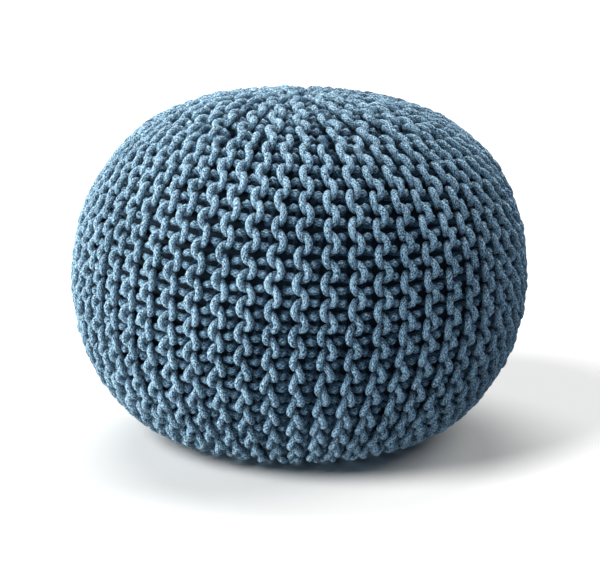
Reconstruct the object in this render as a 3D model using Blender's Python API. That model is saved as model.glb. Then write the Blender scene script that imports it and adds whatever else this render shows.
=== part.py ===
"""Knitted pouf: a round seat in one filled knitted cover.

The cover is knitted sideways in garter stitch, so its ridges run from the gathered
crown over the widest ring to the gathered underside. It is one filled solid, ribbed
by those ridges, and it rests on the flat that its own weight presses into its base.

Frame: metres, +Z up, origin on the floor at the centre of the flat base.
"""
import math

import bmesh
import bpy

# The outline of one side, over the crests of the ridges
WIDEST_RADIUS = 0.250
WIDEST_HEIGHT = 0.173
TOTAL_HEIGHT = 0.380
BASE_RADIUS = 0.121
CROWN_FLAT_RADIUS = 0.031

# How full the curve is above and below the widest ring: 2 is an ellipse, more is boxier
UPPER_FULLNESS = 2.28
LOWER_FULLNESS = 1.89

# The gathered crown: a shallow dimple round the drawn-in end stitches
DIMPLE_DEPTH = 0.005
DIMPLE_RADIUS = 0.034

# The garter ridges
RIDGES = 56
FACETS_PER_RIDGE = 4
VALLEY_DEPTH = 0.006
SHORT_RIDGE_END_RADIUS = 0.148
SHORT_RIDGE_FADE = 0.030
CROWN_RIDGE_FADE_RADIUS = 0.040
BASE_RIDGE_FADE_HEIGHT = 0.030

# Rings of the mesh, counted down one side
UPPER_RINGS = 11
LOWER_RINGS = 6
DIMPLE_RINGS = 2

COVER_COLOUR = (0.085, 0.215, 0.330, 1.0)
COVER_ROUGHNESS = 0.92
SMOOTH_UP_TO = math.radians(50.0)
MERGE_DISTANCE = 1e-5


def remove_everything():
    """Start from an empty scene."""
    for leftover in list(bpy.data.objects):
        bpy.data.objects.remove(leftover, do_unlink=True)


def smoothstep(low, high, value):
    """0 below low, 1 above high, and an even S between them."""
    share = min(1.0, max(0.0, (value - low) / (high - low)))
    return share * share * (3.0 - 2.0 * share)


def superellipse_point(share, fullness):
    """A quarter of a superellipse: (across, up), from (1, 0) at share 0 to (0, 1) at share 1."""
    angle = 0.5 * math.pi * share
    across = math.cos(angle) ** (2.0 / fullness) if share < 1.0 else 0.0
    up = math.sin(angle) ** (2.0 / fullness)
    return across, up


def outline():
    """The side's outline as (radius, height) pairs, from the crown's centre down to the base's rim."""
    points = [(0.0, TOTAL_HEIGHT - DIMPLE_DEPTH)]
    for ring in range(1, DIMPLE_RINGS + 1):
        radius = CROWN_FLAT_RADIUS * ring / (DIMPLE_RINGS + 1)
        dip = DIMPLE_DEPTH * (1.0 - smoothstep(0.0, DIMPLE_RADIUS, radius))
        points.append((radius, TOTAL_HEIGHT - dip))
    upper_height = TOTAL_HEIGHT - WIDEST_HEIGHT
    for ring in range(UPPER_RINGS + 1):
        across, up = superellipse_point(1.0 - ring / UPPER_RINGS, UPPER_FULLNESS)
        radius = CROWN_FLAT_RADIUS + (WIDEST_RADIUS - CROWN_FLAT_RADIUS) * across
        points.append((radius, WIDEST_HEIGHT + upper_height * up))
    for ring in range(1, LOWER_RINGS + 1):
        across, down = superellipse_point(ring / LOWER_RINGS, LOWER_FULLNESS)
        radius = BASE_RADIUS + (WIDEST_RADIUS - BASE_RADIUS) * across
        points.append((radius, WIDEST_HEIGHT * (1.0 - down)))
    return points


def ridge_strengths(radius, height):
    """How strongly the long and the short ridges show at a point of the outline, from 0 to 1."""
    from_base = smoothstep(0.0, BASE_RIDGE_FADE_HEIGHT, height)
    if height < WIDEST_HEIGHT:
        return from_base, from_base
    from_crown = smoothstep(0.0, CROWN_RIDGE_FADE_RADIUS, radius)
    short_start = SHORT_RIDGE_END_RADIUS - SHORT_RIDGE_FADE
    return from_crown, smoothstep(short_start, SHORT_RIDGE_END_RADIUS, radius)


def valley_depth(angle, radius, height):
    """How far the surface lies below the ridge crests, at one place on the cover.

    Where the short ridges have ended, each is a broad valley between two long ones.
    """
    long_strength, short_strength = ridge_strengths(radius, height)
    every_ridge = 0.5 - 0.5 * math.cos(RIDGES * angle)
    long_only = 0.5 - 0.5 * math.cos(RIDGES * angle / 2)
    shape = short_strength * every_ridge + (1.0 - short_strength) * long_only
    return VALLEY_DEPTH * long_strength * shape


def side_normal(points, index):
    """The outward direction (across, up) of the outline at one of its points."""
    before = points[max(0, index - 1)]
    after = points[min(len(points) - 1, index + 1)]
    step_out = after[0] - before[0]
    step_up = after[1] - before[1]
    length = math.hypot(step_out, step_up)
    return -step_up / length, step_out / length


def turned_body(points):
    """The outline spun into a closed body, with one flat face for its base."""
    mesh = bmesh.new()
    side = [mesh.verts.new((radius, 0.0, height)) for radius, height in points]
    chain = [mesh.edges.new(pair) for pair in zip(side, side[1:])]
    bmesh.ops.spin(
        mesh,
        geom=side + chain,
        cent=(0.0, 0.0, 0.0),
        axis=(0.0, 0.0, 1.0),
        angle=2.0 * math.pi,
        steps=RIDGES * FACETS_PER_RIDGE,
        use_merge=True,
    )
    bmesh.ops.remove_doubles(mesh, verts=mesh.verts, dist=MERGE_DISTANCE)
    rim = [edge for edge in mesh.edges if edge.is_boundary]
    bmesh.ops.contextual_create(mesh, geom=rim)
    bmesh.ops.recalc_face_normals(mesh, faces=mesh.faces)
    return mesh


def press_valleys(mesh, points):
    """Move the turned body's points inwards where the valleys between the ridges lie."""
    normal_at = {}
    for index, (radius, height) in enumerate(points):
        normal_at[round(height, 6), round(radius, 6)] = side_normal(points, index)
    for vert in mesh.verts:
        radius = math.hypot(vert.co.x, vert.co.y)
        if radius < MERGE_DISTANCE or vert.co.z < MERGE_DISTANCE:
            continue
        angle = math.atan2(vert.co.y, vert.co.x)
        key = min(normal_at, key=lambda place: abs(place[0] - vert.co.z) + abs(place[1] - radius))
        out, up = normal_at[key]
        depth = valley_depth(angle, radius, vert.co.z)
        new_radius = radius - depth * out
        vert.co.x = new_radius * math.cos(angle)
        vert.co.y = new_radius * math.sin(angle)
        vert.co.z -= depth * up


def cover_material():
    """Matte blue cotton cord."""
    material = bpy.data.materials.new("cotton cord")
    material.use_nodes = True
    shader = material.node_tree.nodes["Principled BSDF"]
    shader.inputs["Base Color"].default_value = COVER_COLOUR
    shader.inputs["Roughness"].default_value = COVER_ROUGHNESS
    shader.inputs["Metallic"].default_value = 0.0
    return material


def knitted_cover():
    """The filled cover, the pouf's only piece."""
    points = outline()
    mesh = turned_body(points)
    press_valleys(mesh, points)
    data = bpy.data.meshes.new("knitted_cover")
    mesh.to_mesh(data)
    mesh.free()
    data.materials.append(cover_material())
    data.shade_smooth()
    data.set_sharp_from_angle(angle=SMOOTH_UP_TO)
    cover = bpy.data.objects.new("knitted_cover", data)
    bpy.context.scene.collection.objects.link(cover)
    return cover


remove_everything()
knitted_cover()
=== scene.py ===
import logging
import math
from collections.abc import Mapping, Sequence
from dataclasses import dataclass, field
from enum import Enum
from typing import ClassVar, NamedTuple

import bmesh
import bpy
import numpy as np
from bpy.types import Material, Mesh, NodeSocket, NodeTree, Object
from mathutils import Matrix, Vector


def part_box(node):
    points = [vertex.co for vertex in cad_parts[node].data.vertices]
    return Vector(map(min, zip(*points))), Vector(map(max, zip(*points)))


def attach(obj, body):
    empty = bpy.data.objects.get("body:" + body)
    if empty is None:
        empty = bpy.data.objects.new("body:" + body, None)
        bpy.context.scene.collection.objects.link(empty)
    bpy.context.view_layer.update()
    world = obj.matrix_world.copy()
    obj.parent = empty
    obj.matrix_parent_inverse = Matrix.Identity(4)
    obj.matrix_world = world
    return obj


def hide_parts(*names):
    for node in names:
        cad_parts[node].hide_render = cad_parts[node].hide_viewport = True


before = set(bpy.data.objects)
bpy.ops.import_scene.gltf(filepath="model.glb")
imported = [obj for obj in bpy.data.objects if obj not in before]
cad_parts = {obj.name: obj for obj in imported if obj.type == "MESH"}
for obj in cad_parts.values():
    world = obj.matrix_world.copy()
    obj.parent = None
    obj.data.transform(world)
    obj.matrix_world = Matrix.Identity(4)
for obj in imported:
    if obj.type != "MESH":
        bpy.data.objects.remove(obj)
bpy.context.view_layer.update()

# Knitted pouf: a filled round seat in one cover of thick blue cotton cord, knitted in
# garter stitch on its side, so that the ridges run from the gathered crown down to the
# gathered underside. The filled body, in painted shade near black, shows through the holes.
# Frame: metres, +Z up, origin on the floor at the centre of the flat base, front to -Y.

LOG = logging.getLogger("pouf")
MM = 0.001
CORD_DIAMETER = 7.6 * MM


class Node(str, Enum):
    """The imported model's nodes, which are also the record's material slots."""

    COVER = "knitted_cover"


class Body(str, Enum):
    """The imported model's bodies."""

    ROOT = "root"


class Course(Enum):
    """The two courses that make one ridge, by the side that their bumps bow to."""

    LEFT = "left"
    RIGHT = "right"


# -------- small helpers


def linear(hex_colour: str) -> tuple[float, float, float, float]:
    """Turn an sRGB hex colour into linear RGBA.

    Args:
        hex_colour: Six hex digits, with or without the leading #.

    Returns:
        The linear colour with an alpha of 1.
    """
    digits = hex_colour.lstrip("#")
    parts = [int(digits[i : i + 2], 16) / 255 for i in (0, 2, 4)]
    low, scale, offset, power = 0.04045, 12.92, 0.055, 2.4
    red, green, blue = (
        c / scale if c <= low else ((c + offset) / (1 + offset)) ** power for c in parts
    )
    return red, green, blue, 1.0


def smoothstep(low: float, high: float, value: np.ndarray) -> np.ndarray:
    """Rise evenly from 0 below low to 1 above high.

    Args:
        low: Where the rise starts.
        high: Where it ends.
        value: The values to place on it.

    Returns:
        An array of shares from 0 to 1.
    """
    share = np.clip((value - low) / (high - low), 0.0, 1.0)
    return share * share * (3.0 - 2.0 * share)


def set_inputs(tree: NodeTree, node: bpy.types.Node, inputs: Mapping[str | int, object]) -> None:
    """Set or link some of a node's inputs.

    Args:
        tree: The node tree that it belongs to.
        node: The node.
        inputs: Socket name or number to a value, or to an output socket to link.
    """
    for name, value in inputs.items():
        if isinstance(value, NodeSocket):
            tree.links.new(value, node.inputs[name])
        else:
            node.inputs[name].default_value = value


def add_node(
    tree: NodeTree,
    kind: str,
    settings: Mapping[str, object] | None = None,
    inputs: Mapping[str | int, object] | None = None,
) -> bpy.types.Node:
    """Add one node, set it and link it.

    Args:
        tree: The node tree that gets it.
        kind: The node's type name.
        settings: Attributes of the node itself.
        inputs: Socket name or number to a value, or to an output socket to link.

    Returns:
        The new node.
    """
    node = tree.nodes.new(kind)
    for name, value in (settings or {}).items():
        setattr(node, name, value)
    set_inputs(tree, node, inputs or {})
    return node


def new_material(name: str) -> tuple[Material, NodeTree, bpy.types.Node]:
    """Make a material with a Principled shader.

    Args:
        name: The material's own name.

    Returns:
        The material, its node tree and its Principled node.
    """
    material = bpy.data.materials.new(name)
    material.use_nodes = True
    return material, material.node_tree, material.node_tree.nodes["Principled BSDF"]


def close_shell(work: bmesh.types.BMesh, mesh: Mesh, merge_within: float) -> None:
    """Close a smooth shell, turn its faces outwards and keep it in a mesh.

    Args:
        work: The shell, which is freed.
        mesh: The mesh that gets it.
        merge_within: How far apart two points may be and still be one.
    """
    bmesh.ops.remove_doubles(work, verts=work.verts, dist=merge_within)
    bmesh.ops.recalc_face_normals(work, faces=work.faces)
    for face in work.faces:
        face.smooth = True
    work.to_mesh(mesh)
    work.free()


def link_mesh(name: str, mesh: Mesh, material: Material) -> Object:
    """Make an object of a mesh in one material.

    Args:
        name: The object's name.
        mesh: Its mesh, with its place in it.
        material: What it is made of.

    Returns:
        The object, at the origin.
    """
    mesh.name = name
    mesh.materials.clear()
    mesh.materials.append(material)
    piece = bpy.data.objects.new(name, mesh)
    bpy.context.collection.objects.link(piece)
    return piece


def stand_for_cover(piece: Object) -> None:
    """Give a piece its body and the node it replaces, and report it.

    Args:
        piece: A finished piece of the pouf.
    """
    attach(piece, Body.ROOT.value)
    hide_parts(Node.COVER.value)
    LOG.info("%s: %d faces", piece.name, len(piece.data.polygons))


# -------- the outline


@dataclass
class Meridian:
    """The line down one side of the pouf, over the crests of its ridges.

    It runs by arc length from the crown's middle to the middle of the underside. Each
    side of the widest ring is a quarter of a superellipse, whose fullness is 2 for an
    ellipse and more for a boxier curve, between a shallow dimple and a flat base.
    """

    widest_radius: float
    total_height: float
    widest_height: float = 0.173
    base_radius: float = 0.121
    crown_flat_radius: float = 0.031
    upper_fullness: float = 2.28
    lower_fullness: float = 1.89
    dimple_depth: float = 0.005
    dimple_radius: float = 0.034
    step: float = 0.5 * MM
    # its outward direction turns evenly, over this length
    softened_over: float = 6 * MM
    crown_samples: int = 60
    quarter_samples: int = 600
    base_samples: int = 200
    arc: np.ndarray = field(init=False)
    radius: np.ndarray = field(init=False)
    height: np.ndarray = field(init=False)
    out_radius: np.ndarray = field(init=False)
    out_height: np.ndarray = field(init=False)

    def __post_init__(self) -> None:
        """Lay the line out in even steps, with the direction that faces outwards."""
        quarter = np.linspace(0.0, math.pi / 2, self.quarter_samples)
        upper, lower = 2 / self.upper_fullness, 2 / self.lower_fullness
        flat, span = self.crown_flat_radius, self.widest_radius - self.crown_flat_radius
        crown = np.linspace(0.0, flat, self.crown_samples, endpoint=False)
        down = quarter[::-1]
        under_span = self.widest_radius - self.base_radius
        radius = [
            crown,
            flat + span * np.cos(down) ** upper,
            self.base_radius + under_span * np.cos(quarter[1:]) ** lower,
            np.linspace(self.base_radius, 0.0, self.base_samples)[1:],
        ]
        rise = self.total_height - self.widest_height
        height = [
            np.full(crown.shape, self.total_height),
            self.widest_height + rise * np.sin(down) ** upper,
            self.widest_height * (1 - np.sin(quarter[1:]) ** lower),
            np.zeros(self.base_samples - 1),
        ]
        across, up = np.concatenate(radius), np.concatenate(height)
        sunk = 0.5 + 0.5 * np.cos(math.pi * np.clip(across / self.dimple_radius, 0, 1))
        up = np.where(up > self.widest_height, up - self.dimple_depth * sunk, up)
        length = np.concatenate([[0.0], np.cumsum(np.hypot(np.diff(across), np.diff(up)))])
        self.arc = np.arange(0.0, length[-1], self.step)
        self.radius = np.interp(self.arc, length, across)
        self.height = np.interp(self.arc, length, up)
        window = np.ones(2 * round(self.softened_over / self.step) + 1)
        window /= len(window)
        edge = len(window) // 2
        slope = [
            np.convolve(np.pad(np.gradient(line), edge, mode="edge"), window, mode="valid")
            for line in (self.radius, self.height)
        ]
        size = np.hypot(*slope)
        self.out_radius, self.out_height = -slope[1] / size, slope[0] / size

    @property
    def length(self) -> float:
        """The arc length from the crown's middle to the underside's middle."""
        return float(self.arc[-1])

    def arc_at(self, radius: float, upper: bool) -> float:
        """Find where the line has a radius.

        Args:
            radius: The distance from the axis.
            upper: True for the half above the widest ring.

        Returns:
            The arc length from the crown's middle.
        """
        widest = int(np.argmax(self.radius))
        if upper:
            return float(np.interp(radius, self.radius[:widest], self.arc[:widest]))
        below = slice(None, widest, -1)
        return float(np.interp(radius, self.radius[below], self.arc[below]))

    def place(self, arc: np.ndarray, turn: np.ndarray, out: np.ndarray) -> np.ndarray:
        """Put points on the pouf.

        Args:
            arc: Arc length from the crown's middle.
            turn: Angle round the axis, from the -Y side towards +X.
            out: Height above the crests' line, along its outward direction.

        Returns:
            An array of points, one row each.
        """
        radius = np.interp(arc, self.arc, self.radius)
        height = np.interp(arc, self.arc, self.height)
        radius = radius + out * np.interp(arc, self.arc, self.out_radius)
        height = height + out * np.interp(arc, self.arc, self.out_height)
        return np.stack([radius * np.sin(turn), -radius * np.cos(turn), height], axis=1)


# -------- the stitch


class StitchPoint(NamedTuple):
    """One point on the middle of the cord, in millimetres from its ridge's middle.

    The soft cord is squeezed where it crosses another, so each point has its plumpness.
    """

    across: float
    along: float
    out: float
    plump: float


@dataclass
class GarterStitch:
    """One stitch of the left-bowed course, which repeats up the ridge.

    The cord comes up in a bump on the ridge's front, dives under the next bump,
    crosses the valley, turns round behind the next ridge and comes back. The
    right-bowed course is its mirror image, half a stitch on, but it leans and lies
    lower in the valley.
    """

    pitch: float = 26 * MM
    ridge_spacing: float = 27 * MM
    cord_diameter: float = CORD_DIAMETER
    samples: int = 800
    # the rings along the cord are set further apart where it is hidden
    rings: int = 20
    hidden_share: float = 0.45
    hidden_at: float = -12 * MM
    shown_at: float = -2 * MM
    points: Sequence[StitchPoint] = (
        StitchPoint(-3.2, -7.0, 2.4, 0.93),
        StitchPoint(-5.0, -3.4, 4.0, 0.97),
        StitchPoint(-5.6, 0.8, 4.0, 0.97),
        StitchPoint(-4.4, 4.8, 2.8, 0.95),
        StitchPoint(-2.2, 8.0, -0.4, 0.92),
        StitchPoint(1.4, 9.6, -3.8, 0.84),
        StitchPoint(5.2, 9.4, -4.6, 0.86),
        StitchPoint(8.8, 8.4, -3.4, 0.94),
        StitchPoint(11.4, 7.6, -1.4, 1.03),
        StitchPoint(13.6, 7.2, -0.7, 1.05),
        StitchPoint(15.8, 7.6, -3.8, 0.98),
        StitchPoint(17.2, 9.2, -11.0, 0.90),
        StitchPoint(17.6, 13.5, -13.6, 0.86),
        StitchPoint(17.2, 17.8, -11.0, 0.90),
        StitchPoint(15.8, 19.4, -3.8, 0.98),
        StitchPoint(13.6, 19.8, -0.7, 1.05),
        StitchPoint(11.4, 19.4, -1.4, 1.03),
        StitchPoint(8.8, 18.4, -3.4, 0.94),
        StitchPoint(5.2, 17.2, -4.6, 0.86),
        StitchPoint(1.6, 16.6, -3.6, 0.84),
        StitchPoint(-1.0, 17.2, -0.8, 0.90),
    )
    # the right-bowed course passes under the left-bowed one in the valley
    under: float = 5.5 * MM
    under_from: float = 5 * MM
    under_by: float = 10 * MM
    # and its bumps lean, their lower ends further out than their upper ends
    slant: float = 0.25
    in_bump_by: float = 4 * MM

    @property
    def summit(self) -> float:
        """How far out the cord's middle reaches at the top of a bump."""
        return max(point.out for point in self.points) * MM

    @property
    def crest(self) -> float:
        """How far out the cord's surface reaches at the top of a bump."""
        return self.summit + self.cord_diameter / 2

    def leaned(
        self, across: np.ndarray, along: np.ndarray, slant: float | np.ndarray, side: float
    ) -> np.ndarray:
        """Lean the bumps, so that their lower ends are further out than their upper ends.

        Args:
            across: Distance from the ridge's middle.
            along: Distance along the ridge.
            slant: How far a bump leans out for each metre along it.
            side: The side that the bumps bow to, -1 or 1.

        Returns:
            The distance from the ridge's middle, leaned.
        """
        from_middle = (along + self.pitch / 2) % self.pitch - self.pitch / 2
        in_bump = smoothstep(0.0, self.in_bump_by, side * across)
        return across - side * slant * from_middle * in_bump

    def smooth_line(self, once: np.ndarray) -> np.ndarray:
        """Draw a smooth line through the stitch's points and on into its neighbours.

        Args:
            once: The points of one stitch.

        Returns:
            Close points from the stitch's first point to that of the next one.
        """
        repeat = np.array([0.0, self.pitch, 0.0, 0.0])
        beside = 2
        line = np.concatenate([once + k * repeat for k in range(-beside, beside + 1)])
        knots = np.sqrt(np.linalg.norm(np.diff(line[:, :3], axis=0), axis=1))
        knots = np.concatenate([[0.0], np.cumsum(knots)])
        slope = np.gradient(line, knots, axis=0)
        start, end = knots[beside * len(once)], knots[(beside + 1) * len(once)]
        at = np.linspace(start, end, self.samples)
        low = np.clip(np.searchsorted(knots, at, side="right") - 1, 0, len(knots) - 2)
        gap = (knots[low + 1] - knots[low])[:, None]
        t = (at - knots[low])[:, None] / gap
        curve = (2 * t**3 - 3 * t**2 + 1) * line[low] + (-2 * t**3 + 3 * t**2) * line[low + 1]
        curve += gap * ((t**3 - 2 * t**2 + t) * slope[low] + (t**3 - t**2) * slope[low + 1])
        return curve

    def unit(self, course: Course) -> np.ndarray:
        """Lay the rings of one stitch along its line, with more of them where it shows.

        Args:
            course: Which of the ridge's two courses.

        Returns:
            One row per ring: across, along and out, in metres, and plumpness.
        """
        once = np.array(self.points) * (MM, MM, MM, 1.0)
        if course is Course.RIGHT:
            once[:, 0] = self.leaned(once[:, 0], once[:, 1], self.slant, -1.0)
            once[:, 2] -= self.under * smoothstep(self.under_from, self.under_by, once[:, 0])
            once[:, 0] *= -1
        curve = self.smooth_line(once)
        shown = smoothstep(self.hidden_at, self.shown_at, curve[:, 2])
        weight = self.hidden_share + (1 - self.hidden_share) * shown
        lengths = np.linalg.norm(np.diff(curve[:, :3], axis=0), axis=1)
        lengths *= (weight[1:] + weight[:-1]) / 2
        lengths = np.concatenate([[0.0], np.cumsum(lengths)])
        at = np.arange(self.rings) / self.rings * lengths[-1]
        return np.stack([np.interp(at, lengths, column) for column in curve.T], axis=1)


# -------- finishes


@dataclass(frozen=True)
class BraidedCottonCord:
    """Soft cotton cord, braided from matt yarns and dyed in the piece.

    The braid gives the eye short slanting flecks, with a painted highlight on the yarns'
    tops and painted shade between them, and the loose fibres a pale bloom where the cord turns
    away.
    """

    name: str = "braided_dyed_cotton_cord"
    # the top colour is a painted highlight and the gap colour painted shade; the middle is the
    # cord's own colour
    top_painted_highlight: str = "#b8d6e4"
    yarn_middle: str = "#90b2c6"
    gap_painted_shade: str = "#1f3c4d"
    # where the gap's painted shade and the middle colour stand between the deepest gap, 0, and a
    # yarn's top, 1
    gap_at: float = 0.05
    middle_at: float = 0.62
    # the braid is drawn about twice as coarse as 1 mm yarns are, or it would not show
    fleck_length: float = 4.0 * MM
    flecks_round: int = 7
    circumference: float = CORD_DIAMETER * math.pi
    # how pointed a fleck's ends are, from 0 for square ones
    fleck_points: float = 0.35
    # how far the yarns stand out, beside the fibres
    yarn_share: float = 0.65
    braid_depth: float = 1.7 * MM
    # yarns never lie quite evenly in a soft braid
    sway_length: float = 6 * MM
    sway: float = 2.8 * MM
    # and loose fibres lie over them
    fibre_tuft: float = 2.4 * MM
    fibre_contrast: float = 2.3
    fibre_level: float = -1.014
    # the dye took unevenly, in patches as wide as a few ridges
    dye_patch: float = 60 * MM
    dye_range: float = 0.5
    # painted shade: the cord in the valleys is darkened by this colour, the crests are not
    valley_painted_shade: str = "#728b9b"
    roughness: float = 0.95
    specular: float = 0.15
    bloom: float = 0.08
    bloom_roughness: float = 0.6
    bloom_tint: str = "#c4dcea"

    def braid_sums(self) -> list[tuple[str, str, Sequence[str | float]]]:
        """Work out the braid: two sets of yarns that slant across each other in flecks.

        Returns:
            For each sum its name, its operation, and what it works on: numbers, or names
            of sums before it.
        """
        sums = [
            ("aside", "MULTIPLY_ADD", ("sway", 2 * self.sway, -self.sway)),
            ("across", "ADD", ("girth", "aside")),
            ("along", "MULTIPLY", ("length", 1 / self.fleck_length)),
            ("around", "MULTIPLY", ("across", self.flecks_round / self.circumference)),
            ("left", "ADD", ("along", "around")),
            ("right", "SUBTRACT", ("along", "around")),
        ]
        for slant in ("left", "right"):
            sums += [
                (f"{slant}_cell", "FRACT", (slant,)),
                (f"{slant}_turn", "MULTIPLY", (f"{slant}_cell", math.pi)),
                (f"{slant}_hump", "SINE", (f"{slant}_turn",)),
                (f"{slant}_ends", "POWER", (f"{slant}_hump", self.fleck_points)),
            ]
        return sums + [
            ("left_yarn", "MULTIPLY", ("left_hump", "right_ends")),
            ("right_yarn", "MULTIPLY", ("right_hump", "left_ends")),
        ]

    def relief(self, tree: NodeTree) -> NodeSocket:
        """Lay the braid and its loose fibres on the cord.

        Args:
            tree: The material's node tree.

        Returns:
            A height, about 0 in the gaps and 1 on the yarns' tops.
        """
        lay = add_node(tree, "ShaderNodeUVMap", {"uv_map": CordTubes.LAY_MAP}).outputs[0]
        split = add_node(tree, "ShaderNodeSeparateXYZ", inputs={0: lay})
        flat = {"noise_dimensions": "2D"}
        swaying = {"Vector": lay, "Scale": 1 / self.sway_length, "Detail": 1.0}
        sway = add_node(tree, "ShaderNodeTexNoise", flat, swaying).outputs[0]
        found = {"length": split.outputs["X"], "girth": split.outputs["Y"], "sway": sway}
        for name, operation, values in self.braid_sums():
            inputs = dict(enumerate(found.get(value, value) for value in values))
            node = add_node(tree, "ShaderNodeMath", {"operation": operation}, inputs)
            found[name] = node.outputs[0]
        both = add_node(tree, "ShaderNodeCombineXYZ", inputs={0: found["left"], 1: found["right"]})
        checks = {"Vector": both.outputs[0], "Scale": 1.0}
        over = add_node(tree, "ShaderNodeTexChecker", inputs=checks).outputs["Fac"]
        upper = {0: over, 2: found["left_yarn"], 3: found["right_yarn"]}
        yarn = add_node(tree, "ShaderNodeMix", {"data_type": "FLOAT"}, upper).outputs[0]
        tufts = {"Vector": lay, "Scale": 1 / self.fibre_tuft, "Detail": 3.0, "Roughness": 0.7}
        fibres = add_node(tree, "ShaderNodeTexNoise", flat, tufts).outputs[0]
        scaled = {"operation": "MULTIPLY_ADD"}
        loose = {0: fibres, 1: self.fibre_contrast, 2: self.fibre_level}
        uneven = add_node(tree, "ShaderNodeMath", scaled, loose).outputs[0]
        laid = {0: yarn, 1: self.yarn_share, 2: uneven}
        return add_node(tree, "ShaderNodeMath", scaled, laid).outputs[0]

    def colour(self, tree: NodeTree, relief: NodeSocket) -> NodeSocket:
        """Dye the cord unevenly; paint shade in gaps and valleys, highlight on yarn tops.

        Args:
            tree: The material's node tree.
            relief: The braid's height.

        Returns:
            The cord's colour.
        """
        place = add_node(tree, "ShaderNodeTexCoord").outputs["Object"]
        patches = {"Vector": place, "Scale": 1 / self.dye_patch, "Detail": 2.0}
        dye = add_node(tree, "ShaderNodeTexNoise", inputs=patches).outputs[0]
        ranged = {0: dye, 1: self.dye_range, 2: -self.dye_range / 2}
        patch = add_node(tree, "ShaderNodeMath", {"operation": "MULTIPLY_ADD"}, ranged).outputs[0]
        tone = add_node(tree, "ShaderNodeMath", {"operation": "ADD"}, {0: relief, 1: patch})
        # the ramp paints highlight on the yarns' tops and shade in the braid's gaps
        ramp = add_node(tree, "ShaderNodeValToRGB", inputs={0: tone.outputs[0]})
        ramp.color_ramp.elements.new(self.middle_at)
        positions = (self.gap_at, self.middle_at, 1.0)
        colours = (self.gap_painted_shade, self.yarn_middle, self.top_painted_highlight)
        for stop, position, colour in zip(ramp.color_ramp.elements, positions, colours):
            stop.position, stop.color = position, linear(colour)
        # painted shade: the cord is darkened by how deep it lies in the knit's valleys
        depth = add_node(tree, "ShaderNodeAttribute", {"attribute_name": CordTubes.DEPTH})
        darker = {"data_type": "RGBA", "blend_type": "MULTIPLY"}
        mixed_colours = {0: depth.outputs["Fac"], 6: ramp.outputs["Color"], 7: linear(self.valley_painted_shade)}
        return add_node(tree, "ShaderNodeMix", darker, mixed_colours).outputs[2]

    def make(self) -> Material:
        """Build the cord's material.

        Returns:
            The material, which reads the cord's own map in metres.
        """
        material, tree, shader = new_material(self.name)
        relief = self.relief(tree)
        raised = {"Height": relief, "Distance": self.braid_depth, "Strength": 1.0}
        surface = {
            "Base Color": self.colour(tree, relief),
            "Normal": add_node(tree, "ShaderNodeBump", inputs=raised).outputs["Normal"],
            "Roughness": self.roughness,
            "Specular IOR Level": self.specular,
            "Sheen Weight": self.bloom,
            "Sheen Roughness": self.bloom_roughness,
            "Sheen Tint": linear(self.bloom_tint),
        }
        set_inputs(tree, shader, surface)
        return material


@dataclass(frozen=True)
class HoleShadeCanvas:
    """Plain-woven cotton canvas on the filled body, coloured near black as painted shade.

    It gives the eye the shade at the bottom of the holes, with a faint weave.
    """

    name: str = "woven_cotton_canvas_painted_shade"
    # the canvas's near-black colours are painted shade, the dark at the bottom of the holes
    thread: str = "#22323d"
    gap: str = "#141d25"
    thread_spacing: float = 1.2 * MM
    straying: float = 0.25
    thread_depth: float = 0.4 * MM
    roughness: float = 1.0
    specular: float = 0.1

    def make(self) -> Material:
        """Build the dark cloth's material.

        Returns:
            The material, woven on the piece's own coordinates.
        """
        material, tree, shader = new_material(self.name)
        place = add_node(tree, "ShaderNodeTexCoord").outputs["Object"]
        threads = {"Vector": place, "Scale": 1 / self.thread_spacing, "Randomness": self.straying}
        weave = add_node(tree, "ShaderNodeTexVoronoi", inputs=threads).outputs["Distance"]
        mixed_colours = {0: weave, 6: linear(self.thread), 7: linear(self.gap)}
        colour = add_node(tree, "ShaderNodeMix", {"data_type": "RGBA"}, mixed_colours)
        raised = {"Height": weave, "Distance": self.thread_depth, "Strength": 0.6}
        bump = add_node(tree, "ShaderNodeBump", {"invert": True}, raised)
        surface = {
            "Base Color": colour.outputs[2],
            "Normal": bump.outputs["Normal"],
            "Roughness": self.roughness,
            "Specular IOR Level": self.specular,
        }
        set_inputs(tree, shader, surface)
        return material


@dataclass(frozen=True)
class MattWhitePaint:
    """Rolled matt white emulsion on a studio floor, which gives only a clean shadow."""

    name: str = "rolled_matt_white_paint"
    colour: str = "#efefed"
    stipple_width: float = 3 * MM
    stipple_depth: float = 0.05 * MM
    roughness: float = 0.9
    specular: float = 0.1

    def make(self) -> Material:
        """Build the floor's material.

        Returns:
            The material, stippled on the floor's own coordinates.
        """
        material, tree, shader = new_material(self.name)
        place = add_node(tree, "ShaderNodeTexCoord").outputs["Object"]
        grains = {"Vector": place, "Scale": 1 / self.stipple_width, "Detail": 2.0}
        stipple = add_node(tree, "ShaderNodeTexNoise", inputs=grains).outputs[0]
        raised = {"Height": stipple, "Distance": self.stipple_depth, "Strength": 0.2}
        bump = add_node(tree, "ShaderNodeBump", inputs=raised)
        surface = {
            "Base Color": linear(self.colour),
            "Normal": bump.outputs["Normal"],
            "Roughness": self.roughness,
            "Specular IOR Level": self.specular,
        }
        set_inputs(tree, shader, surface)
        return material


# -------- cords


class CordRun(NamedTuple):
    """One length of cord: its middle line, its share of the full thickness and its depth.

    The depth is 0 where the cord lies on a crest and 1 where it lies in a valley. It sets
    how much painted shade darkens the cord.
    """

    points: np.ndarray
    thickness: np.ndarray
    depth: np.ndarray


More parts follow.
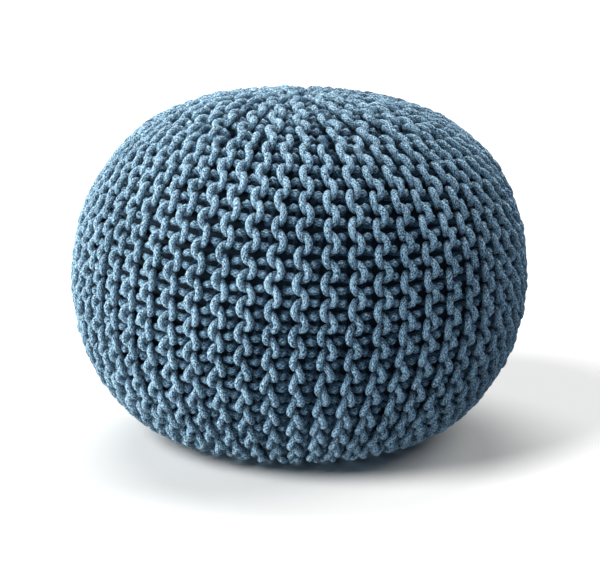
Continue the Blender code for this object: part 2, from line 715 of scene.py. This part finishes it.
@dataclass
class CordTubes:
    """Turns runs of cord into one mesh of closed round tubes with a map in metres."""

    LAY_MAP: ClassVar[str] = "cord_lay"
    DEPTH: ClassVar[str] = "depth_in_the_knit"
    diameter: float
    roundness: int = 2
    merge_within: float = 1e-7

    @property
    def sides(self) -> int:
        """How many faces go round the cord."""
        return 4 + 2 * self.roundness

    def make(self, name: str, runs: Sequence[CordRun]) -> Mesh:
        """Bevel a curve through each run and keep it as a mesh.

        Args:
            name: The mesh's name.
            runs: The lengths of cord, in the order in which they are worked.

        Returns:
            The mesh, whose map holds metres along the cord and round it.
        """
        curve = bpy.data.curves.new(name, "CURVE")
        curve.dimensions = "3D"
        curve.bevel_depth = self.diameter / 2
        curve.bevel_resolution = self.roundness
        curve.use_fill_caps = True
        curve.twist_mode = "MINIMUM"
        for run in runs:
            spline = curve.splines.new("POLY")
            spline.use_smooth = True
            count = len(run.points)
            spline.points.add(count - 1)
            placed = np.concatenate([run.points, np.ones((count, 1))], axis=1)
            spline.points.foreach_set("co", placed.ravel().astype(np.float32))
            spline.points.foreach_set("radius", run.thickness.astype(np.float32))
        holder = bpy.data.objects.new(name, curve)
        bpy.context.collection.objects.link(holder)
        graph = bpy.context.evaluated_depsgraph_get()
        mesh = bpy.data.meshes.new_from_object(holder.evaluated_get(graph))
        bpy.data.objects.remove(holder)
        bpy.data.curves.remove(curve)
        self.map_lay(mesh, runs)
        work = bmesh.new()
        work.from_mesh(mesh)
        close_shell(work, mesh, self.merge_within)
        return mesh

    def map_lay(self, mesh: Mesh, runs: Sequence[CordRun]) -> None:
        """Turn the curve's own map, which counts rings, into metres, and note the depth.

        Args:
            mesh: The beveled curve's mesh.
            runs: The lengths of cord that it was made from.
        """
        layer = mesh.uv_layers[0]
        layer.name = self.LAY_MAP
        lay = np.empty(2 * len(mesh.loops), dtype=np.float32)
        layer.uv.foreach_get("vector", lay)
        lay = lay.reshape(-1, 2)
        corner = np.empty(len(mesh.loops), dtype=np.int32)
        mesh.loops.foreach_get("vertex_index", corner)
        # a run's points are its rings and then the rings of its two caps
        caps = 2 * self.sides
        first = np.cumsum([0] + [len(run.points) * self.sides + caps for run in runs])
        owner = np.searchsorted(first, corner, side="right") - 1
        depth = np.zeros(len(mesh.loops), dtype=np.float32)
        used = 0.0
        for index, run in enumerate(runs):
            steps = np.linalg.norm(np.diff(run.points, axis=0), axis=1)
            along = used + np.concatenate([[0.0], np.cumsum(steps)])
            mine = owner == index
            ring = lay[mine, 0] * (len(run.points) - 1)
            lay[mine, 0] = np.interp(ring, np.arange(len(run.points)), along)
            depth[mine] = np.interp(ring, np.arange(len(run.points)), run.depth)
            used = float(along[-1])
        lay[:, 1] *= math.pi * self.diameter
        layer.uv.foreach_set("vector", lay.ravel())
        mesh.attributes.new(self.DEPTH, "FLOAT", "CORNER").data.foreach_set("value", depth)


class RowLength(NamedTuple):
    """How stretched the stitches are at a distance down the side below the widest ring."""

    below_widest: float
    stretch: float


class ShortRow(NamedTuple):
    """Which ridges turn back early, and the radii where they do.

    Ridge number `offset` in every `every` turns back at `above` under the crown and
    at `below` on the underside.
    """

    every: int
    offset: int
    above: float
    below: float


class Slump(NamedTuple):
    """How far the soft body has shifted aside and filled out at one height."""

    height_share: float
    aside: float
    proud: float


class Wander(NamedTuple):
    """How far stitches knitted by hand stray from even ones, as standard deviations."""

    width: float
    aside: float
    rows: float
    out: float
    plump: float


@dataclass
class KnittedCover:
    """The cover: every ridge is two courses of cord, worked side by side.

    Most ridges are short rows, which turn back before the crown and before the
    underside, and that is what makes the ball round. Each course is a length of its own
    with its ends tucked in, where a knitted cord would turn into the next course, and
    crossing cords are sunk into each other.
    """

    meridian: Meridian
    stitch: GarterStitch
    ridges: int = 56
    gores: int = 7
    # the rows climb by this many stitches on the way round, so that they still meet
    rows_climb: int = 2
    short_rows: Sequence[ShortRow] = (
        ShortRow(2, 1, 0.150, 0.128),
        ShortRow(4, 2, 0.080, 0.066),
    )
    # the short rows' ends are ragged, and the ridges beside them fan out over a length
    ragged: float = 5 * MM
    fan_out: float = 22 * MM
    # the gathered edges' distances from the crown's middle and from the underside's
    crown_end_arc: float = 15 * MM
    base_end_arc: float = 30 * MM
    nearest_axis: float = 8 * MM
    # a ridge takes this share of its spacing, within limits, and the valley the rest
    ridge_share: float = 0.66
    narrowest: float = 0.22
    widest: float = 1.12
    # where the ridges stand close, the knit is shallower and its cord plumper
    flat_spacing: float = 12 * MM
    full_spacing: float = 27 * MM
    flattest: float = 0.9
    plumpest: float = 0.04
    # the crown is stretched: its bumps are lower, its legs deeper, and its stitches lean
    flat_crown_arc: float = 70 * MM
    full_arc: float = 190 * MM
    crown_flattening: float = 0.22
    crown_deepening: float = 0.45
    crown_slant: float = 0.2
    # under the widest ring the weight on the knit keeps the ridges broad and close
    under_from: float = -10 * MM
    under_by: float = 70 * MM
    under_width: float = 0.9
    under_fit: float = 1.08
    under_relief: float = 0.3
    under_filling: float = 0.1
    under_slant: float = 0.3
    # the two ends of each course are tucked in, over a part of a stitch
    dive: float = 16 * MM
    tuck_from: float = 0.1
    tuck_by: float = 0.9
    # painted shade darkens the cord where it lies deeper than a bump, in full at the second depth
    shade_starts_at: float = 3.5 * MM
    shade_full_at: float = 9 * MM
    # the whole cover is a little twisted, and it leans at the crown
    twist: float = 0.022
    twist_over: float = 120 * MM
    lean: float = 0.008
    core: float = 60 * MM
    wander: Wander = Wander(0.08, 0.7 * MM, 0.035, 0.6 * MM, 0.02)
    seed: int = 41
    rows: Sequence[RowLength] = (
        RowLength(-330 * MM, 1.10),
        RowLength(-200 * MM, 1.20),
        RowLength(-110 * MM, 1.17),
        RowLength(-35 * MM, 1.02),
        RowLength(0.0, 1.01),
        RowLength(35 * MM, 1.05),
        RowLength(70 * MM, 1.14),
        RowLength(120 * MM, 1.16),
        RowLength(400 * MM, 1.05),
    )
    slumps: Sequence[Slump] = (
        Slump(0.0, -0.5 * MM, 0.0),
        Slump(0.2, -1.0 * MM, 1.8 * MM),
        Slump(0.45, 0.0, 1.5 * MM),
        Slump(0.65, 1.5 * MM, 0.8 * MM),
        Slump(0.82, 4.0 * MM, 0.2 * MM),
        Slump(0.93, 2.0 * MM, -0.6 * MM),
        Slump(1.0, -4.0 * MM, -1.0 * MM),
    )
    widest_arc: float = field(init=False)
    row_count: np.ndarray = field(init=False)

    def __post_init__(self) -> None:
        """Count the rows down the side, where the stitches are not all as long."""
        self.widest_arc = float(self.meridian.arc[int(np.argmax(self.meridian.radius))])
        places, stretches = np.array(self.rows).T
        offsets = self.meridian.arc - self.widest_arc
        length = self.stitch.pitch * np.interp(offsets, places, stretches)
        self.row_count = np.cumsum(self.meridian.step / length)

    def turning_points(self, short: ShortRow) -> tuple[float, float]:
        """Where short rows turn back above the widest ring and below it."""
        above = self.meridian.arc_at(short.above, upper=True)
        return above, self.meridian.arc_at(short.below, upper=False)

    def spacing(self, arc: np.ndarray) -> np.ndarray:
        """Space the ridges, which stand twice as far apart past each short row's end.

        Args:
            arc: Arc length from the crown's middle.

        Returns:
            The distance between neighbouring ridges there.
        """
        radius = np.interp(arc, self.meridian.arc, self.meridian.radius)
        gap = math.tau * radius / self.ridges
        for short in self.short_rows:
            upper, lower = self.turning_points(short)
            gap = gap * (2 - smoothstep(upper - self.fan_out, upper, arc))
            gap = gap * (1 + smoothstep(lower, lower + self.fan_out, arc))
        return gap

    def ends(self, ridge: int) -> tuple[float, float]:
        """Find where a ridge starts below the crown and stops before the underside's middle.

        Args:
            ridge: The ridge's number.

        Returns:
            Two arc lengths from the crown's middle.
        """
        draw = np.random.default_rng([self.seed, ridge])
        for short in self.short_rows:
            if ridge % short.every == short.offset:
                upper, lower = self.turning_points(short)
                return (
                    upper + draw.normal(0.0, self.ragged),
                    lower + draw.normal(0.0, self.ragged),
                )
        return self.crown_end_arc, self.meridian.length - self.base_end_arc

    def stitches(self, ridge: int, shift: float, half: float) -> np.ndarray:
        """Number the stitches of one course.

        Args:
            ridge: The ridge's number.
            shift: How many rows the work has climbed between the front ridge and this one.
            half: Half a stitch for the course that starts half a stitch on, or 0.

        Returns:
            The rows that its stitches are in, from the underside up.
        """
        top, bottom = np.interp(self.ends(ridge), self.meridian.arc, self.row_count)
        first, last = math.ceil(top - shift + half), math.floor(bottom - shift + half)
        return np.arange(first, last + 1)[::-1] - half

    def under(self, arc: np.ndarray) -> np.ndarray:
        """How far a place is under the widest ring, from 0 to 1."""
        start, end = self.widest_arc + self.under_from, self.widest_arc + self.under_by
        return smoothstep(start, end, arc)

    def over(self, arc: np.ndarray) -> np.ndarray:
        """How far a place is up on the crown, from 0 to 1."""
        return 1 - smoothstep(self.flat_crown_arc, self.full_arc, arc)

    def crowd(self, across: np.ndarray, spacing: np.ndarray, arc: np.ndarray) -> np.ndarray:
        """Fit a stitch between its neighbours.

        Over the top the ridges draw in as far as their valleys do. Under the widest ring
        the weight on the knit keeps them broad, and the valleys close first.

        Args:
            across: Distance from the ridge's middle, before the fit.
            spacing: The distance between neighbouring ridges there.
            arc: Arc length from the crown's middle.

        Returns:
            The distance from the ridge's middle, fitted.
        """
        natural = self.stitch.ridge_spacing
        share = spacing / natural
        thick = self.stitch.cord_diameter
        room = (self.ridge_share * spacing - thick) / (self.ridge_share * natural - thick)
        drawn_in = np.clip(room, self.narrowest, self.widest)
        kept_broad = np.minimum(self.under_width, self.under_fit * share)
        bump = drawn_in + self.under(arc) * (kept_broad - drawn_in)
        wave = np.sin(math.tau * across / natural) * natural / math.tau
        return across * share + (bump - share) * wave

    def depth(self, out: np.ndarray, arc: np.ndarray, slack: np.ndarray) -> np.ndarray:
        """Press the knit flatter over the crown and fuller below.

        Args:
            out: How far out the cord's middle lies in an even stitch.
            arc: Arc length from the crown's middle.
            slack: How closely the ridges stand, from 0 to 1.

        Returns:
            How far in the cord's middle lies from that of the highest crest.
        """
        under, crown = self.under(arc), self.over(arc)
        relief = 1 + self.under_relief * under
        bumps = np.maximum(out, 0.0) * (relief - self.crown_flattening * crown)
        deeper = self.crown_deepening * np.maximum(crown, slack) - self.under_filling * under
        legs = np.minimum(out, 0.0) * (1 + deeper)
        return (self.stitch.summit * relief - bumps - legs) * (1 - (1 - self.flattest) * slack)

    def run(self, ridge: int, course: Course) -> CordRun:
        """Work one course of one ridge.

        Args:
            ridge: The ridge's number, counted from the front towards +X.
            course: Which of its two courses.

        Returns:
            The cord's middle line from the underside up to the crown.
        """
        left = course is Course.LEFT
        draw = np.random.default_rng([self.seed, ridge, 0 if left else 1])
        middle = math.tau * ridge / self.ridges
        if middle > math.pi:
            middle -= math.tau
        shift = self.rows_climb * middle / math.tau
        stitches = self.stitches(ridge, shift, 0.0 if left else 0.5)
        unit = self.stitch.unit(course)
        count, rings = len(stitches), len(unit)
        at = np.arange(count * rings) / rings
        across, along, out, plump = np.tile(unit, (count, 1)).T
        row = np.repeat(stitches, rings) - along / self.stitch.pitch

        def uneven(amount: float) -> np.ndarray:
            """Let a measure wander a little from stitch to stitch."""
            return np.interp(at, np.arange(count + 1), draw.normal(0.0, amount, count + 1))

        wander = self.wander
        across = across * (1 + uneven(wander.width)) + uneven(wander.aside)
        row = row + uneven(wander.rows) + shift
        out = out + uneven(wander.out)
        arc = np.interp(row, self.row_count, self.meridian.arc)
        slant = self.under_slant * self.under(arc) + self.crown_slant * self.over(arc)
        across = self.stitch.leaned(across, along, slant, -1.0 if left else 1.0)
        radius = np.interp(arc, self.meridian.arc, self.meridian.radius)
        spacing = self.spacing(arc)
        aside = self.crowd(across, spacing, arc) / np.maximum(radius, self.nearest_axis)
        slack = 1 - smoothstep(self.flat_spacing, self.full_spacing, spacing)
        row = row + self.rows_climb * aside / math.tau
        arc = np.interp(row, self.row_count, self.meridian.arc)
        depth = self.depth(out, arc, slack)
        tucked = 1 - smoothstep(self.tuck_from, self.tuck_by, at)
        tucked = tucked + smoothstep(count - self.tuck_by, count - self.tuck_from, at)
        sunk = -depth - self.stitch.cord_diameter / 2 - self.dive * tucked
        turned = -self.twist * np.tanh((arc - self.widest_arc) / self.twist_over)
        points = self.slump(self.meridian.place(arc, middle + aside + turned, sunk))
        plump = plump * (1 + uneven(wander.plump)) * (1 + self.plumpest * slack)
        points[:, 2] = np.maximum(points[:, 2], plump * self.stitch.cord_diameter / 2)
        # the cord's depth in the valley sets its painted shade
        return CordRun(points, plump, smoothstep(self.shade_starts_at, self.shade_full_at, depth))

    def slump(self, points: np.ndarray) -> np.ndarray:
        """Let the soft body sit a little aside, and fill out or sink, by its height.

        Args:
            points: Points on the even body.

        Returns:
            The points where the soft body has them.
        """
        shares, asides, prouds = np.array(self.slumps).T
        share = points[:, 2] / self.meridian.total_height
        reach = np.hypot(points[:, 0], points[:, 1])
        grow = 1 + np.interp(share, shares, prouds) / np.maximum(reach, self.core)
        moved = points.copy()
        moved[:, :2] *= grow[:, None]
        moved[:, 0] += np.interp(share, shares, asides)
        moved[:, 2] -= self.lean * moved[:, 0] * share**3
        return moved

    def build(self, finish: Material) -> list[Object]:
        """Make the cover in gores of whole ridges.

        Args:
            finish: The cord's material.

        Returns:
            The gores' objects.
        """
        tubes = CordTubes(self.stitch.cord_diameter)
        each = self.ridges // self.gores
        pieces = []
        for gore in range(self.gores):
            runs = [
                self.run(ridge, course)
                for ridge in range(gore * each, (gore + 1) * each)
                for course in Course
            ]
            name = f"knitted_gore_{gore + 1}"
            pieces.append(link_mesh(name, tubes.make(name, runs), finish))
        return pieces


@dataclass
class GatherKnot:
    """The small knot of cord that the end stitches are drawn up with.

    It sits a little off the crown's middle and leans, as the stitches pull it.
    """

    crown_height: float
    aside: float = -4 * MM
    back: float = 2 * MM
    sunk: float = 2 * MM
    reach: float = 14.0 * MM
    rise: float = 2.5 * MM
    lean: float = 0.22
    cord_diameter: float = 7.0 * MM
    rings: int = 72

    def build(self, finish: Material) -> Object:
        """Tie it as a trefoil.

        Args:
            finish: The cord's material.

        Returns:
            The knot's object.
        """
        t = np.linspace(0.0, math.tau, self.rings)
        points = np.stack(
            [
                (np.sin(t) + 2 * np.sin(2 * t)) / 3 * self.reach,
                (np.cos(t) - 2 * np.cos(2 * t)) / 3 * self.reach,
                -np.sin(3 * t) * self.rise,
            ],
            axis=1,
        )
        points[:, 2] -= self.lean * points[:, 0]
        points += np.array(Vector((self.aside, self.back, self.crown_height - self.sunk)))
        run = CordRun(points, np.ones(self.rings), np.zeros(self.rings))
        mesh = CordTubes(self.cord_diameter).make("crown_gather", [run])
        return link_mesh("crown_gather", mesh, finish)


@dataclass
class FilledBody:
    """The filled body that the knit is stretched over, in canvas coloured near black as painted
    shade.
    """

    meridian: Meridian
    crest: float
    below_ridges: float = 12 * MM
    profile_step: float = 6 * MM
    spin_steps: int = 112
    merge_within: float = 1e-5

    def build(self, finish: Material) -> Object:
        """Spin the body's half section round the axis.

        Args:
            finish: The dark cloth's material.

        Returns:
            The body's object.
        """
        count = round(self.meridian.length / self.profile_step)
        arc = np.linspace(0.0, self.meridian.length, count)
        inwards = np.full(count, -(self.crest + self.below_ridges))
        line = self.meridian.place(arc, np.zeros(count), inwards)
        # the line stays on the -Y side, and both its ends are on the axis
        line[:, 1] = np.minimum(line[:, 1], 0.0)
        line[[0, -1], 1] = 0.0
        work = bmesh.new()
        verts = [work.verts.new(point) for point in line]
        edges = [work.edges.new(pair) for pair in zip(verts, verts[1:])]
        bmesh.ops.spin(
            work,
            geom=verts + edges,
            cent=(0.0, 0.0, 0.0),
            axis=(0.0, 0.0, 1.0),
            angle=math.tau,
            steps=self.spin_steps,
            use_merge=True,
        )
        mesh = bpy.data.meshes.new("filled_body")
        close_shell(work, mesh, self.merge_within)
        return link_mesh("filled_body", mesh, finish)


# -------- the studio


class Lit(Enum):
    """What a softbox is flagged to light: each has its own cards in a product studio."""

    POUF = "pouf"
    FLOOR = "floor"


class SoftLamp(NamedTuple):
    """A large distant softbox: how wide it looks, in degrees, and where it stands."""

    name: str
    strength: float
    width: float
    towards: tuple[float, float, float]
    lit: Lit
    colour: str = "#ffffff"


@dataclass
class Studio:
    """A pale floor, soft light from above and from the left, and the camera."""

    aim_height: float = 0.2
    distance: float = 2.0
    elevation: float = math.radians(12.0)
    # tipped a little further down, so that the pouf stands just above the middle
    tilt: float = math.radians(1.2075)
    aside: float = 0.95 * MM
    # the lens and the sensor's width in millimetres, as a camera gives them
    lens: float = 108.46
    sensor: float = 36.0
    floor_size: float = 60.0
    lamps: Sequence[SoftLamp] = (
        SoftLamp("left_softbox", 7.5, 36.0, (-1.0, -0.03, 0.12), Lit.POUF, "#fff7f0"),
        SoftLamp("front_left_fill", 4.5, 50.0, (-0.78, -0.6, 0.18), Lit.POUF, "#e2eefa"),
        SoftLamp("rear_softbox", 8.0, 60.0, (0.0, 0.5, 0.87), Lit.POUF, "#f6f5f6"),
        SoftLamp("front_fill", 0.75, 60.0, (0.0, -1.0, 0.09), Lit.POUF, "#e4f0ff"),
        SoftLamp("right_fill", 1.05, 60.0, (0.97, -0.17, 0.19), Lit.POUF, "#d0e3ff"),
        SoftLamp("floor_key", 3.55, 30.0, (-0.64, -0.37, 0.67), Lit.FLOOR),
        SoftLamp("floor_rear", 2.1, 46.0, (-0.1, 0.52, 0.85), Lit.FLOOR),
        SoftLamp("floor_right", 1.33, 40.0, (0.66, 0.12, 0.74), Lit.FLOOR),
    )
    sky_strength: float = 0.08
    sky_colour: str = "#e4f0ff"
    backdrop: str = "#ffffff"

    def build_floor(self) -> Object:
        """Lay the floor, which takes the pouf's shadow and throws no light back at it.

        Returns:
            The floor's object.
        """
        work = bmesh.new()
        bmesh.ops.create_grid(work, x_segments=1, y_segments=1, size=self.floor_size / 2)
        mesh = bpy.data.meshes.new("studio_floor")
        work.to_mesh(mesh)
        work.free()
        floor = link_mesh("studio_floor", mesh, MattWhitePaint().make())
        floor.visible_diffuse = False
        floor.visible_shadow = False
        return floor

    def light(self, pieces: Sequence[Object], floor: Object) -> None:
        """Hang the softboxes in an evenly pale room.

        Args:
            pieces: The pouf's pieces.
            floor: The studio's floor.
        """
        receivers = {}
        for lit, members in ((Lit.POUF, pieces), (Lit.FLOOR, [floor])):
            receivers[lit] = bpy.data.collections.new(f"lit_{lit.value}")
            for member in members:
                receivers[lit].objects.link(member)
        for soft in self.lamps:
            data = bpy.data.lights.new(soft.name, "SUN")
            data.energy, data.angle = soft.strength, math.radians(soft.width)
            data.color = linear(soft.colour)[:3]
            lamp = bpy.data.objects.new(soft.name, data)
            lamp.light_linking.receiver_collection = receivers[soft.lit]
            lamp.rotation_euler = Vector(soft.towards).to_track_quat("Z", "Y").to_euler()
            bpy.context.collection.objects.link(lamp)
        world = bpy.data.worlds.new("white_studio")
        world.use_nodes = True
        tree = world.node_tree
        seen = add_node(tree, "ShaderNodeLightPath").outputs["Is Camera Ray"]
        dimmed = {0: seen, 2: self.sky_strength, 3: 1.0}
        strength = add_node(tree, "ShaderNodeMix", {"data_type": "FLOAT"}, dimmed).outputs[0]
        tinted = {0: seen, 6: linear(self.sky_colour), 7: linear(self.backdrop)}
        tint = add_node(tree, "ShaderNodeMix", {"data_type": "RGBA"}, tinted).outputs[2]
        set_inputs(tree, tree.nodes["Background"], {"Color": tint, "Strength": strength})
        bpy.context.scene.world = world
        bpy.context.scene.view_settings.view_transform = "Standard"

    def place_camera(self) -> None:
        """Stand the camera in front, a little above the pouf."""
        data = bpy.data.cameras.new("camera")
        data.lens, data.sensor_width = self.lens, self.sensor
        camera = bpy.data.objects.new("camera", data)
        back = Vector((0.0, -math.cos(self.elevation), math.sin(self.elevation)))
        camera.location = Vector((self.aside, 0.0, self.aim_height)) + back * self.distance
        camera.rotation_euler = (math.pi / 2 - self.elevation - self.tilt, 0.0, 0.0)
        bpy.context.collection.objects.link(camera)
        bpy.context.scene.camera = camera


# -------- the whole pouf


def main() -> None:
    """Build the pouf's pieces in order, then the studio round it."""
    logging.basicConfig(level=logging.INFO, format="%(message)s")
    low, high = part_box(Node.COVER.value)
    meridian = Meridian(widest_radius=(high[0] - low[0]) / 2, total_height=high[2] - low[2])
    stitch = GarterStitch()
    cord, canvas = BraidedCottonCord().make(), HoleShadeCanvas().make()
    body = FilledBody(meridian, stitch.crest).build(canvas)
    gores = KnittedCover(meridian, stitch).build(cord)
    pieces = [body, *gores, GatherKnot(meridian.total_height).build(cord)]
    for piece in pieces:
        stand_for_cover(piece)
    studio = Studio()
    studio.light(pieces, studio.build_floor())
    studio.place_camera()


if __name__ == "__main__":
    main()
